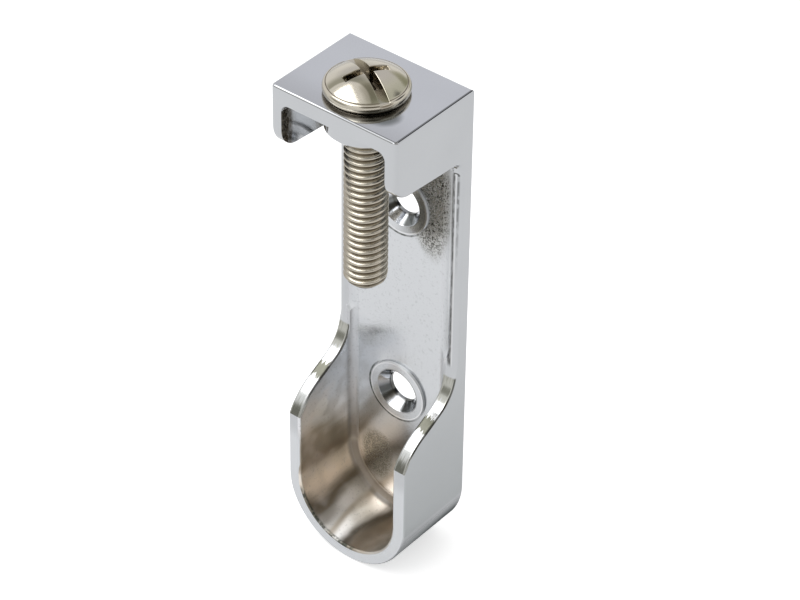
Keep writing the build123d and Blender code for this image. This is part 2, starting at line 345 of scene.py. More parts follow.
class ScrewFinish(bpy.types.PropertyGroup):
    """Sizes of the screw's thread and drive, and the colours of its plating."""

    pitch: bpy.props.FloatProperty(
        name="Pitch", description="Distance from one turn of the thread to the next",
        unit="LENGTH", default=1.0 * MM)
    crest_radius: bpy.props.FloatProperty(
        name="Crest radius", description="Radius over the crests of the thread",
        unit="LENGTH", default=2.95 * MM)
    root_radius: bpy.props.FloatProperty(
        name="Root radius", description="Radius at the roots of the thread",
        unit="LENGTH", default=2.42 * MM)
    drive_angle: bpy.props.FloatProperty(
        name="Slot's turn", description="Turn of the slot about the screw's axis, from the bracket's width",
        subtype="ANGLE", default=math.radians(-25.0))
    slot_width: bpy.props.FloatProperty(
        name="Slot width", description="Width of the straight slot across the head",
        unit="LENGTH", default=1.3 * MM)
    nickel: bpy.props.FloatVectorProperty(
        name="Nickel", description="Colour of the nickel plating",
        subtype="COLOR", size=3, min=0, max=1, default=(0.56, 0.52, 0.44))
    # The shade colour is painted shade in the head's recess and crease, and the brown of the thread's roots
    shade: bpy.props.FloatVectorProperty(
        name="Shade", description="Colour of the plating in the recess, the crease and the thread's roots",
        subtype="COLOR", size=3, min=0, max=1, default=(0.13, 0.10, 0.065))


class StageSettings(bpy.types.PropertyGroup):
    """The camera and the light of the studio."""

    azimuth: bpy.props.FloatProperty(
        name="Azimuth", description="Camera's turn about the object, from straight in front",
        subtype="ANGLE", default=math.radians(38.819))
    elevation: bpy.props.FloatProperty(
        name="Elevation", description="Camera's height above the horizon",
        subtype="ANGLE", default=math.radians(38.113))
    roll: bpy.props.FloatProperty(
        name="Roll", description="Camera's turn about its own line of sight",
        subtype="ANGLE", default=math.radians(0.8495))
    distance: bpy.props.FloatProperty(
        name="Distance", description="From the camera to the point it looks at",
        unit="LENGTH", default=432.47 * MM)
    lens: bpy.props.FloatProperty(
        name="Lens", description="Focal length for a sensor 36 mm wide",
        default=145.96)
    aim: bpy.props.FloatVectorProperty(
        name="Aim", description="Point that the camera looks at",
        subtype="XYZ", unit="LENGTH", default=(1.752 * MM, -3.782 * MM, 30.641 * MM))
    surround: bpy.props.FloatProperty(
        name="Surround", description="Strength of the white room's light on the object",
        min=0, default=0.75)
    window_power: bpy.props.FloatProperty(
        name="Window", description="Power of the soft lamp in front",
        min=0, default=3.4)
    floor_glow: bpy.props.FloatProperty(
        name="Floor glow", description="Share of the floor's white that is always seen",
        min=0, default=0.55)
    floor_gleam: bpy.props.FloatProperty(
        name="Floor gleam", description="The same share as the metal sees it",
        min=0, default=0.05)


# Sockets of the node that mixes two colours
MIX_AMOUNT, MIX_FIRST, MIX_SECOND, MIX_RESULT = 0, 6, 7, 2


class Field:
    """A number that changes over a surface: a node's output, whose operators turn into Math nodes."""

    def __init__(self, finish, socket):
        self.finish = finish
        self.socket = socket

    def math(self, operation, *others):
        node = self.finish.node("ShaderNodeMath", {"operation": operation}, dict(enumerate((self, *others))))
        return Field(self.finish, node.outputs[0])

    def __add__(self, other):
        return self.math("ADD", other)

    __radd__ = __add__

    def __mul__(self, other):
        return self.math("MULTIPLY", other)

    __rmul__ = __mul__

    def __sub__(self, other):
        return self.math("SUBTRACT", other)

    def __rsub__(self, other):
        return self.math("MULTIPLY", -1.0) + other

    def __truediv__(self, other):
        return self.math("DIVIDE", other)

    def __or__(self, other):
        """The larger one, which joins two masks."""
        return self.math("MAXIMUM", other)

    def __abs__(self):
        return self.math("ABSOLUTE")

    def step(self, low, high):
        """0 below low, 1 above high and smooth in between. With high as the lower one it is turned round."""
        node = self.finish.node(
            "ShaderNodeMapRange", {"interpolation_type": "SMOOTHSTEP", "clamp": True},
            {"Value": self.socket, "From Min": low, "From Max": high, "To Min": 0.0, "To Max": 1.0})
        return Field(self.finish, node.outputs["Result"])


class Finish:
    """A material while it is made: every node comes from node(), which sets it and links its sockets."""

    def __init__(self, name, tree=None):
        if tree is None:
            self.material = bpy.data.materials.new(name)
            self.material.use_nodes = True
            tree = self.material.node_tree
        self.tree = tree
        self.tree.nodes.clear()

    def node(self, kind, settings=None, sockets=None):
        made = self.tree.nodes.new(kind)
        for key, value in (settings or {}).items():
            if key == "stops":
                self.fill_ramp(made.color_ramp, value)
            else:
                setattr(made, key, value)
        for key, value in (sockets or {}).items():
            if isinstance(value, Field):
                value = value.socket
            if isinstance(value, bpy.types.NodeSocket):
                self.tree.links.new(value, made.inputs[key])
            else:
                made.inputs[key].default_value = value
        return made

    @staticmethod
    def fill_ramp(ramp, stops):
        while len(ramp.elements) < len(stops):
            ramp.elements.new(1.0)
        for element, (place, color) in zip(ramp.elements, stops):
            element.position = place
            element.color = (*color, 1.0)

    def place(self):
        """Object coordinates in millimetres, as three fields and as a vector."""
        coordinates = self.node("ShaderNodeTexCoord")
        scaled = self.node(
            "ShaderNodeVectorMath", {"operation": "SCALE"},
            {0: coordinates.outputs["Object"], "Scale": 1 / MM})
        parts = self.node("ShaderNodeSeparateXYZ", None, {0: scaled.outputs[0]})
        return [Field(self, parts.outputs[i]) for i in range(3)], scaled.outputs[0]

    def noise(self, vector, scale, detail=2.0, distortion=0.0):
        made = self.node("ShaderNodeTexNoise", None, {
            "Vector": vector, "Scale": scale, "Detail": detail, "Distortion": distortion})
        return Field(self, made.outputs["Fac"])

    def stretch(self, vector, factors):
        made = self.node("ShaderNodeVectorMath", {"operation": "MULTIPLY"}, {0: vector, 1: factors})
        return made.outputs[0]

    def blend(self, amount, first, second):
        """Two colours mixed by a field."""
        colors = [
            color if isinstance(color, bpy.types.NodeSocket) else (*color, 1.0) for color in (first, second)]
        made = self.node(
            "ShaderNodeMix", {"data_type": "RGBA", "clamp_factor": True},
            {MIX_AMOUNT: amount, MIX_FIRST: colors[0], MIX_SECOND: colors[1]})
        return made.outputs[MIX_RESULT]

    def ramp(self, field, stops):
        made = self.node("ShaderNodeValToRGB", {"stops": stops}, {0: field})
        made.color_ramp.interpolation = "EASE"
        return made.outputs["Color"]

    def bump(self, height, distance, strength=1.0, normal=None):
        sockets = {"Strength": strength, "Distance": distance, "Height": height}
        if normal is not None:
            sockets["Normal"] = normal
        return self.node("ShaderNodeBump", None, sockets).outputs["Normal"]

    def metal(self, color, roughness, normal=None, metallic=1.0):
        sockets = {"Base Color": color, "Metallic": metallic, "Roughness": roughness}
        if normal is not None:
            sockets["Normal"] = normal
        shader = self.node("ShaderNodeBsdfPrincipled", None, sockets)
        self.node("ShaderNodeOutputMaterial", None, {"Surface": shader.outputs[0]})
        return self.material


def distance(across, upright):
    """Length of a way made of two parts at a right angle."""
    return (across * across + upright * upright).math("SQRT")


def tint(color, factor):
    return [min(1.0, factor * channel) for channel in color]


class Casting(Finish):
    """The casting's finish while it is made: where a point lies in millimetres, the noises that several marks
    share, and a colour that is built up in coats."""

    def __init__(self, settings):
        super().__init__("plated_casting")
        (self.x, self.y, self.z), self.point = self.place()
        self.side = abs(self.x)
        self.deep = self.y * -1.0
        self.reach = distance(self.x, self.z)
        self.plating = settings.plating
        self.cloud = self.noise(self.point, CLOUD_SCALE, detail=3.0)
        self.color = self.blend(self.cloud, *(tint(self.plating, factor) for factor in PLATING_RANGE))
        grain_size = settings.grain / MM
        self.grain = self.noise(self.point, 1.0 / grain_size)
        pebble_scale = 1.0 / (PEBBLE_SHARE * grain_size)
        self.pebbles = self.noise(self.point, pebble_scale, detail=1.0, distortion=0.4).step(*PEBBLE_LIMITS)
        self.dashes = self.noise(self.stretch(self.point, DASH_STRETCH), DASH_SCALE).step(*DASH_LIMITS)
        self.recess = self.region("recess")

    def region(self, name):
        """Product of a region's soft limits: 1 inside it and 0 outside."""
        limits = [getattr(self, field).step(outside, inside) for field, outside, inside in REGIONS[name]]
        return math.prod(limits[1:], start=limits[0])

    def line(self, name):
        """1 where a field has the line's own value, and 0 beside it."""
        field, middle, beside, on_it = LINES[name]
        return abs(getattr(self, field) - middle).step(beside, on_it)

    def spot(self, name):
        """1 inside an ellipse and 0 outside it, with an edge that the cloudy noise shifts."""
        parts = [(getattr(self, field) - middle) / radius for field, middle, radius in SPOTS[name]]
        across, upright = parts
        return (across * across + upright * upright + (self.cloud - 0.5) * SPOT_DRIFT).step(*SPOT_LIMITS)

    def disc(self, height, radius):
        """1 inside a circle about the wall-screw hole at a height."""
        return distance(self.x, self.z - height).step(radius + DISC_EDGE, radius - DISC_EDGE)

    def broken(self, share, strength):
        """The strength on the dashes, and a share less between them."""
        return self.dashes * share + (strength - share)

    def coat(self, mark, amount):
        """One of the marks over the colour so far, as much as the amount says."""
        share, color = MARKS[mark]
        self.color = self.blend(amount * share, self.color, color)


def cup_reflection_bands(cast):
    """Painted reflections as soft warm and dark streaks along the cup, by the angle about the rail's axis from
    the cup's bottom.
    """
    turn = cast.x.math("ARCTAN2", cast.z * -1.0) * math.degrees(1.0)
    streaks = cast.noise(cast.stretch(cast.point, STREAK_STRETCH), STREAK_SCALE)
    drift = cast.noise(cast.point, DRIFT_SCALE, detail=0.0)
    angle = (turn + (streaks - 0.5) * STREAK_TURN + (drift - 0.5) * DRIFT_TURN) / FULL_TURN + 0.5
    bands = cast.ramp(angle, [(degrees / FULL_TURN + 0.5, color) for degrees, color in CUP_REFLECTION_BANDS])
    blotches = cast.noise(cast.point, BLOTCH_SCALE, detail=1.0)
    for low, high, share, color in REFLECTION_BLOTCHES:
        bands = cast.blend(blotches.step(low, high) * share, bands, color)
    return bands


def cup_tones(cast):
    """The cup's inside, floor and walls, with its bands of painted reflection and a painted highlight on the
    left wall.
    """
    share, color = MARKS["wall_gleam"]
    gleam = cast.spot("wall_gleam") * cast.region("left_wall")
    bands = cast.blend(gleam * share, cup_reflection_bands(cast), color)
    cup = (cast.region("cup_floor") | cast.region("cup_walls")) * cast.region("cup_height")
    cast.color = cast.blend(cup, cast.color, bands)
    return cup


def channel_tones(cast):
    """The floor between the ribs: painted light above, a painted warm reflection towards the cup, and a painted
    blue shade at the left.
    """
    floor = cast.recess * cast.region("channel_floor")
    above = floor * cast.region("above_the_cup")
    cast.color = cast.blend(above, cast.color, tint(cast.plating, CHANNEL_PAINTED_LIGHT))
    cast.coat("warm_floor", floor * (cast.z + (cast.cloud - 0.5) * WARM_REFLECTION_DRIFT).step(*WARM_REFLECTION_HEIGHTS))
    cast.coat("blue_shade", floor * cast.spot("blue_shade"))


def grain_patches(cast):
    """Patches that the polishing wheel didn't reach: a pebbled one beside the upper hole, a faint one over
    the lower hole and one at the back of the cup, which also carries a painted dark olive shade. A fine grain
    covers the whole recess."""
    beside_ring = cast.spot("upper_patch") * (1.0 - cast.disc(RING_HEIGHTS[1], PATCH_KEEPS_OFF))
    cup_grain_and_shade = cast.spot("cup_patch") * CUP_PATCH_AND_SHADE_STRENGTH
    cast.coat("cup_patch", cup_grain_and_shade * cast.recess)
    patch = (beside_ring | cast.spot("small_patch") * SMALL_PATCH_STRENGTH | cup_grain_and_shade) * cast.recess
    cast.coat("patch", patch)
    cast.coat("pits", patch * cast.pebbles)
    grain = cast.grain.step(*GRAIN_LIMITS) * cast.recess * GRAIN_SHARE
    cast.color = cast.blend(grain, cast.color, tint(cast.plating, GRAIN_SHADE))
    return patch


def rib_lines(cast):
    """Lines of painted highlight and broken lines of painted shade along the right rib. The shade lines join in
    a small arch at its top.
    """
    rib = cast.region("right_rib")
    cast.coat("rib_light", rib * (cast.line("rib_inner_light") | cast.line("rib_outer_light")))
    inner = cast.line("rib_inner_dark") * cast.broken(*RIB_INNER_BREAKS)
    outer = cast.line("rib_outer_dark") * cast.region("upper_rib") * cast.broken(*RIB_OUTER_BREAKS)
    straight = (inner | outer) * cast.region("below_arch")
    from_arch = distance(cast.side - ARCH_MIDDLE[0], cast.z - ARCH_MIDDLE[1])
    arch = abs(from_arch - ARCH_RADIUS).step(*ARCH_LINE) * cast.region("arch")
    cast.coat("rib_dark", rib * (straight | arch))


def wedges(x, up):
    """Two painted dark reflections as wedges in the cone of a countersink, at the lower left and the lower
    right of the hole.
    """
    turn = up.math("ARCTAN2", x) * math.degrees(1.0)
    left, right = (abs(turn - middle).step(outside, inside) for middle, outside, inside in WEDGES)
    return (left | right) * WEDGE_STRENGTH


def ring_parts(cast, height):
    """For the ring at a height: its dark lines, light edge, side wall, countersink and bore. The dark lines are
    painted shade at the foot at the lower left, at the countersink's mouth at the upper right and in a thin
    outline, with painted dark reflections as wedges in the cone. The light edge is a painted highlight."""
    up = cast.z - height
    reach = distance(cast.x, up)
    low_left = (cast.x + up).step(*LOW_LEFT_LIMITS)
    high_right = 1.0 - low_left
    foot_reach = distance(cast.x - FOOT_MIDDLE[0], up - FOOT_MIDDLE[1])

    def circle(name, way=reach):
        radius, beside, on_it, strength = RING_CIRCLES[name]
        return abs(way - radius).step(beside, on_it) * strength

    foot = circle("foot", foot_reach) * low_left
    mouth = circle("mouth") * high_right
    dark = (foot | mouth) * cast.broken(*RING_BREAKS)
    dark = dark | reach.step(*CONE_SHADE_LIMITS) * wedges(cast.x, up) | circle("outline") * high_right
    cone, bore = cast.disc(height, CONE_RADIUS), cast.disc(height, BORE_RADIUS)
    return dark, circle("light_edge"), circle("wall"), cone, bore


def ring_tones(cast):
    """The two raised rings with their holes: painted highlights on their edges, painted reflections in the
    countersinks, painted shade in the bores and in dark lines, and painted dark reflections as wedges in the
    cones. The upper ring's face is in painted shade at its right.
    """
    pairs = zip(*(ring_parts(cast, height) for height in RING_HEIGHTS))
    dark, light, wall, cone, bore = (lower | upper for lower, upper in pairs)
    wall = wall * cast.region("ring_wall")
    cast.coat("ring_wall", wall)
    face = cast.recess * cast.region("ring_face")
    cast.coat("ring_shade", cast.disc(RING_HEIGHTS[1], RING_FACE_RADIUS) * face * cast.region("ring_right"))
    cast.coat("light_edge", light * face)
    cone = cone * cast.region("off_the_back")
    cast.coat("countersink", cone)
    cast.coat("ring_dark", dark * (cone | cast.recess))
    cast.coat("bore", bore * cast.region("off_the_back"))
    return wall


def cheek_and_lip(cast):
    """A dark streak inside the left cheek, and the cup's lip: a face in painted light and a painted shadow line
    at its lower left.
    """
    cast.coat("cheek_streak", cast.region("left_cheek") * cast.broken(*CHEEK_BREAKS))
    cast.coat("lip_line", cast.line("lip_edge") * cast.region("lip_low_left") * cast.broken(*LIP_BREAKS))
    cast.color = cast.blend(cast.region("lip_face"), cast.color, tint(cast.plating, LIP_PAINTED_LIGHT))


def swept_edges(cast):
    """The cup's two swept edges: painted reflections by the depth from the wall, ragged where they meet, and
    thin painted dark reflections along their fillets.
    """
    edges = cast.region("swept_edges")
    brushed = cast.noise(cast.stretch(cast.point, BRUSH_STRETCH), 1.0)
    ragged = (cast.deep + (brushed - 0.5) * BRUSH_REACH) / CUP_DEPTH
    tones = cast.ramp(ragged, [(depth / CUP_DEPTH, color) for depth, color in EDGE_REFLECTIONS])
    cast.color = cast.blend(edges, cast.color, tones)
    cast.coat("burr", edges * (cast.line("right_burr") | cast.line("left_burr")) * cast.region("behind_lip"))
    return edges


def outer_walls(cast):
    """The outer faces: a faint painted shade down both sides and a dark painted shade under the cup, strongest
    at the wall.
    """
    cast.coat("side_shade", cast.region("outer_sides"))
    under = cast.region("under_the_cup") * (cast.region("near_the_wall") * UNDER_FADE + (1.0 - UNDER_FADE))
    cast.coat("under", under)
    return under


def junction_tones(cast):
    """The fillet between the channel's floor and the cup's walls, with a painted shade that grows darker
    towards the cup's bottom.
    """
    around = cast.region("fillet_round") | cast.region("fillet_upright")
    junction = around * cast.region("fillet_depth") * cast.region("channel")
    cast.coat("junction", junction * cast.region("lower_end"))
    return junction


def flange_tones(cast):
    """The flange's top: a painted shade towards the front, a painted dark reflection of the head beside it, and
    painted dark reflections along its edges.
    """
    top = cast.region("flange_top")
    cast.coat("flange_front", top * cast.region("towards_front"))
    cast.coat("head_gleam", top * cast.spot("head_gleam"))
    edges = (cast.region("front_edge") | cast.region("right_edge")) * cast.region("top_edge")
    cast.coat("edge_line", top * edges)


def plated_casting(settings):
    """Bright chrome over a zinc casting: smooth outside, grainy where the polishing wheel didn't reach, with
    painted reflections, highlights and shade in its colour.
    """
    cast = Casting(settings)
    cup = cup_tones(cast)
    channel_tones(cast)
    patch = grain_patches(cast)
    rib_lines(cast)
    ring_walls = ring_tones(cast)
    cheek_and_lip(cast)
    edges = swept_edges(cast)
    under = outer_walls(cast)
    junction = junction_tones(cast)
    flange_tones(cast)

    roughness = settings.roughness
    for area, rougher in zip((cast.recess, cup, patch, junction, edges, under), AREA_ROUGHNESS):
        roughness = area * rougher + roughness
    fine = cast.bump(cast.grain, GRAIN_HEIGHT * MM, cast.recess * 0.5 + 0.05)
    normal = cast.bump(cast.pebbles, PEBBLE_HEIGHT * MM, patch, fine)
    return cast.metal(cast.color, roughness, normal, 1.0 - (ring_walls | under) * DULL_SHARE)


def radius_of(x, y):
    """Distance from the screw's axis in millimetres."""
    return distance(x - SCREW_X / MM, y - SCREW_Y / MM)


def nickel_head(settings):
    """Nickel plating on the head: painted shade in the recess, in the crease between dome and rim and at the
    seat, with a painted dark olive reflection in a band over the dome's front and a painted olive reflection at
    its right."""
    finish = Finish("nickel_head")
    (x, y, z), place = finish.place()
    radius = radius_of(x, y)
    height = z - FLANGE_TOP / MM
    cloud = finish.noise(place, HEAD_CLOUD_SCALE, detail=3.0)
    color = finish.blend(cloud, *(tint(settings.nickel, factor) for factor in HEAD_RANGE))
    ball = dome_ball()
    dome = (radius * radius * -1.0 + ball**2).math("SQRT") + (DOME_FOOT + DOME_RISE - ball)
    sunk = (dome - height).step(*SUNK_DEPTHS) * radius.step(*RECESS_RADII)
    crease = abs(radius - CREASE_RADIUS).step(*CREASE_LINE) * height.step(*CREASE_HEIGHTS)
    dark = sunk | crease | height.step(*SEAT_HEIGHTS)
    on_dome = radius.step(*DOME_RADII)
    bow = distance(x - (SCREW_X / MM + BOW_MIDDLE[0]), y - (SCREW_Y / MM + BOW_MIDDLE[1]))
    band = bow.step(*BOW_INNER) * bow.step(*BOW_OUTER) * on_dome
    color = finish.blend(band * BOW_SHARE, color, BOW_REFLECTION)
    right = (x - SCREW_X / MM).step(*RIGHT_LIMITS) * on_dome
    color = finish.blend(right * RIGHT_SHARE, color, RIGHT_REFLECTION)
    streak = finish.noise(finish.stretch(place, HEAD_STREAK_STRETCH), 1.6)
    color = finish.blend(dark * (streak * 0.5 + 0.6), color, tint(settings.shade, 0.8))
    roughness = cloud * 0.06 + dark * 0.12 + HEAD_ROUGHNESS
    scratches = finish.noise(finish.stretch(place, SCRATCH_STRETCH), 2.5, detail=3.0)
    return finish.metal(color, roughness, finish.bump(scratches, SCRATCH_HEIGHT * MM))


def nickel_thread(settings):
    """Nickel plating on the thread: bright crests, brown roots, and painted shade down its left side."""
    finish = Finish("nickel_thread")
    (x, y, _), place = finish.place()
    depth = radius_of(x, y).step(settings.root_radius / MM, settings.crest_radius / MM - CREST_BAND)
    cloud = finish.noise(place, 0.5, detail=3.0)
    plate = finish.blend(cloud, *(tint(settings.nickel, factor) for factor in THREAD_RANGE))
    shaded_side = (x - SCREW_X / MM + (y - SCREW_Y / MM) * SHADED_SIDE_TURN).step(*SHADED_SIDE_LIMITS)
    color = finish.blend(depth * (cloud * 0.4 + 0.75) * (shaded_side * -0.45 + 1.0), settings.shade, plate)
    return finish.metal(color, depth * -0.12 + THREAD_ROUGHNESS, finish.bump(cloud, THREAD_GRAIN * MM))


def grid_mesh(name, points, closed_columns=True):
    """A mesh from a (rows, columns, 3) array of points: one quad for each cell of the grid."""
    rows, columns = points.shape[:2]
    index = np.arange(rows * columns).reshape(rows, columns)
    right = np.roll(index, -1, axis=1) if closed_columns else index[:, 1:]
    left = index if closed_columns else index[:, :-1]
    quads = np.stack((left[:-1], right[:-1], right[1:], left[1:]), axis=-1).reshape(-1, 4)
    mesh = bpy.data.meshes.new(name)
    mesh.from_pydata(points.reshape(-1, 3).tolist(), [], quads.tolist())
    return mesh


def add_piece(name, mesh, material):
    piece = bpy.data.objects.new(name, mesh)
    bpy.context.scene.collection.objects.link(piece)
    mesh.materials.append(material)
    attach(piece, "root")
    return piece


def thread_points(settings):
    """A screw thread: the radius is a rounded trapezoid of the phase, which is the height over the pitch less
    the angle over a full turn. The cone of the tip cuts it at the lower end."""
    profile = np.array(THREAD_PROFILE)
    angle = np.linspace(0.0, 2 * math.pi, THREAD_STEPS + 1)
    bottom = SCREW_LOW.z
    top = FLANGE_TOP + THREAD_OVERLAP * MM
    turns = int((top - bottom) / settings.pitch) + 2
    phase = (np.arange(-1, turns)[:, None] + profile[None, :, 0]).ravel()
    depth = np.tile(profile[:, 1] ** PROFILE_POWER, turns + 1)
    z = bottom + settings.pitch * (phase[:, None] + angle[None, :] / (2 * math.pi))
    radius = settings.root_radius + (settings.crest_radius - settings.root_radius) * depth[:, None] + 0 * z
    z = np.clip(z, bottom, top)
    radius = np.minimum(radius, settings.crest_radius - TIP_CHAMFER * MM + (z - bottom))
    return np.stack((SCREW_X + radius * np.cos(angle), SCREW_Y + radius * np.sin(angle), z), axis=-1)


def dome_ball():
    """Radius of the sphere that the dome is cut from."""
    return (DOME_EDGE**2 + DOME_RISE**2) / (2 * DOME_RISE)


def arm_floor(along, across):
    """Height of a tapered arm of the cross: a flat foot whose ends and sides rise as planes."""
    end = (np.abs(along) - ARM_FOOT_REACH) / ARM_END_DRAFT
    side = (np.abs(across) - ARM_FOOT_HALF) / ARM_SIDE_DRAFT
    return ARM_FOOT + np.maximum(np.maximum(end, side), 0.0)


def arm_distance(along, across, top):
    """Distance outside an arm's outline, where its planes meet the surface at the height top."""
    rise = top - ARM_FOOT
    return np.maximum(
        np.abs(across) - ARM_FOOT_HALF - rise * ARM_SIDE_DRAFT,
        np.abs(along) - ARM_FOOT_REACH - rise * ARM_END_DRAFT)


def head_height(u, v, slot_half):
    """Height over the seat, u along the slot: the higher one of a spherical dome and an elliptical rim, and
    under it the lower one of a straight slot and two crossed arms, with a narrow bevel around them."""
    r = np.minimum(np.hypot(u, v), RIM_CENTRE + RIM_HALF_WIDTH)
    ball = dome_ball()
    dome = DOME_FOOT + DOME_RISE - ball + np.sqrt(ball**2 - r**2)
    rim = RIM_MIDDLE * (1.0 + np.sqrt(1.0 - (np.maximum(r - RIM_CENTRE, 0.0) / RIM_HALF_WIDTH) ** 2))
    top = np.where(r < DOME_EDGE, np.maximum(dome, rim), rim)
    slot = SLOT_FLOOR + np.maximum(np.abs(v) - slot_half + WALL_RUN, 0.0) * WALL_STEEPNESS
    recess = np.minimum(slot, np.minimum(arm_floor(u, v), arm_floor(v, u)))
    outside = np.minimum(np.abs(v) - slot_half, np.minimum(arm_distance(u, v, top), arm_distance(v, u, top)))
    beveled = top + np.clip(outside - EDGE_BEVEL, -EDGE_BEVEL, 0.0)
    return np.minimum(beveled, recess)


def disc_grid(lines, radius, core):
    """(u, v) over a disc: straight rows v, and columns that are straight in the core and fan out from it."""
    v = lines[:, None]
    half = np.sqrt(np.maximum(radius**2 - v**2, 0.0))
    inner = np.minimum(core, half)
    reach = np.abs(lines)[None, :]
    fan = np.maximum(reach - core, 0.0) / (radius - core)
    u = np.minimum(reach / core, 1.0) * inner + fan * (half - inner)
    return np.sign(lines)[None, :] * u, v + 0.0 * u


def head_points(settings):
    """The head as two grids: its upper surface over a disc, and a strip from the disc's edge round the rim's
    circle to the flat seat."""
    radius = RIM_CENTRE + RIM_HALF_WIDTH
    slot_half = settings.slot_width / MM / 2
    near_slot = slot_half + np.array(NEAR_SLOT_LINES)
    arcs = radius * np.sin(np.radians(np.arange(0.0, QUARTER_TURN, DISC_STEP)))
    half = np.concatenate((CORE_LINES, near_slot, arcs[arcs > DISC_CORE + 0.1], ARM_END_LINES))
    half = np.unique(np.round(half, 5))
    lines = np.concatenate((-half[:0:-1], half))
    lines[0], lines[-1] = -radius, radius
    u, v = disc_grid(lines, radius, DISC_CORE)
    upper = np.stack((u, v, head_height(u, v, slot_half)), axis=-1)
    edge = np.concatenate((upper[:, -1], upper[-2:0:-1, 0]))
    around = np.arctan2(edge[:, 1], edge[:, 0])[None, :]
    sweep = np.radians(np.arange(RIM_START, QUARTER_TURN, RIM_STEP))[:, None]
    ring_radius = np.concatenate((RIM_CENTRE + RIM_HALF_WIDTH * np.cos(sweep), [[SEAT_INNER]]))
    ring_height = np.concatenate((RIM_MIDDLE * (1.0 - np.sin(sweep)), [[0.0]])) + 0.0 * around
    lower = np.stack((ring_radius * np.cos(around), ring_radius * np.sin(around), ring_height), axis=-1)
    strip = np.concatenate((edge[None], lower))
    return turned(upper, settings.drive_angle), turned(strip, settings.drive_angle)


def turned(points, angle):
    """From the head's own millimetres to metres in the row's frame, turned about the screw's axis."""
    u, v, height = np.moveaxis(points, -1, 0) * MM
    return np.stack((
        SCREW_X + u * math.cos(angle) - v * math.sin(angle),
        SCREW_Y + u * math.sin(angle) + v * math.cos(angle),
        FLANGE_TOP + height), axis=-1)


def merge_and_close(apart, *meshes):
    """Put all meshes in the first, join points that fall together, drop empty faces and close the ends."""
    form = bmesh.new()
    for mesh in meshes:
        form.from_mesh(mesh)
    mesh = meshes[0]
    bmesh.ops.remove_doubles(form, verts=form.verts, dist=apart)
    bmesh.ops.dissolve_degenerate(form, edges=form.edges, dist=apart / 10)
    bmesh.ops.holes_fill(form, edges=[edge for edge in form.edges if edge.is_boundary], sides=0)
    bmesh.ops.recalc_face_normals(form, faces=form.faces)
    form.to_mesh(mesh)
    form.free()


class RAIL_OT_plate_bracket(bpy.types.Operator):
    """Give the bracket its bright plating"""

    bl_idname = "rail.plate_bracket"
    bl_label = "Plate the bracket"

    def execute(self, context):
        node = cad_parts["bracket"]
        node.data.materials[0] = plated_casting(context.scene.rail_casting)
        return {"FINISHED"}


class RAIL_OT_make_screw(bpy.types.Operator):
    """Make the machine screw: its thread, and its head with the slot and the cross"""

    bl_idname = "rail.make_screw"
    bl_label = "Make the screw"

    def execute(self, context):
        settings = context.scene.rail_screw
        thread = grid_mesh("screw_thread", thread_points(settings), closed_columns=False)
        merge_and_close(JOIN_DISTANCE * MM, thread)
        thread.shade_smooth()
        upper, lower = head_points(settings)
        head = grid_mesh("screw_head", upper, closed_columns=False)
        merge_and_close(JOIN_DISTANCE * MM, head, grid_mesh("head_ring", lower))
        head.shade_smooth()
        head.set_sharp_from_angle(angle=math.radians(CREASE_ANGLE))
        for mesh, material in ((thread, nickel_thread(settings)), (head, nickel_head(settings))):
            piece = add_piece(mesh.name, mesh, material)
            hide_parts("screw")
        return {"FINISHED"}


def camera_axes(stage):
    """Right, up and back of the camera, from its azimuth, elevation and roll."""
    a, e, r = stage.azimuth, stage.elevation, stage.roll
    back = Vector((math.sin(a) * math.cos(e), -math.cos(a) * math.cos(e), math.sin(e)))
    level = Vector((math.cos(a), math.sin(a), 0.0))
    rise = back.cross(level)
    right = math.cos(r) * level + math.sin(r) * rise
    up = math.cos(r) * rise - math.sin(r) * level
    return right, up, back


def place_camera(stage):
    right, up, back = camera_axes(stage)
    data = bpy.data.cameras.new("camera")
    data.lens = stage.lens
    data.sensor_width = SENSOR_WIDTH
    camera = bpy.data.objects.new("camera", data)
    turn = Matrix((right, up, back)).transposed().to_4x4()
    camera.matrix_world = Matrix.Translation(Vector(stage.aim) + back * stage.distance) @ turn
    bpy.context.scene.collection.objects.link(camera)
    bpy.context.scene.camera = camera


def direction(azimuth, elevation):
    """Unit vector from the object, with angles in degrees. Azimuth 0 is straight in front, 90 to the right."""
    a, e = math.radians(azimuth), math.radians(elevation)
    return Vector((math.sin(a) * math.cos(e), -math.cos(a) * math.cos(e), math.sin(e)))


def seen_ray(finish):
    """1 for rays from the camera, off a gloss or through glass, which show the white surround."""
    path = finish.node("ShaderNodeLightPath")
    seen = Field(finish, path.outputs["Is Camera Ray"]) + Field(finish, path.outputs["Is Glossy Ray"])
    return (seen + Field(finish, path.outputs["Is Transmission Ray"])).math("MINIMUM", 1.0)


def white_surround(strength):
    world = bpy.data.worlds.new("surround")
    world.use_nodes = True
    bpy.context.scene.world = world
    finish = Finish("surround", world.node_tree)
    seen = seen_ray(finish)
    background = finish.node(
        "ShaderNodeBackground", None, {"Color": (1, 1, 1, 1), "Strength": seen * (1.0 - strength) + strength})
    finish.node("ShaderNodeOutputWorld", None, {"Surface": background.outputs[0]})


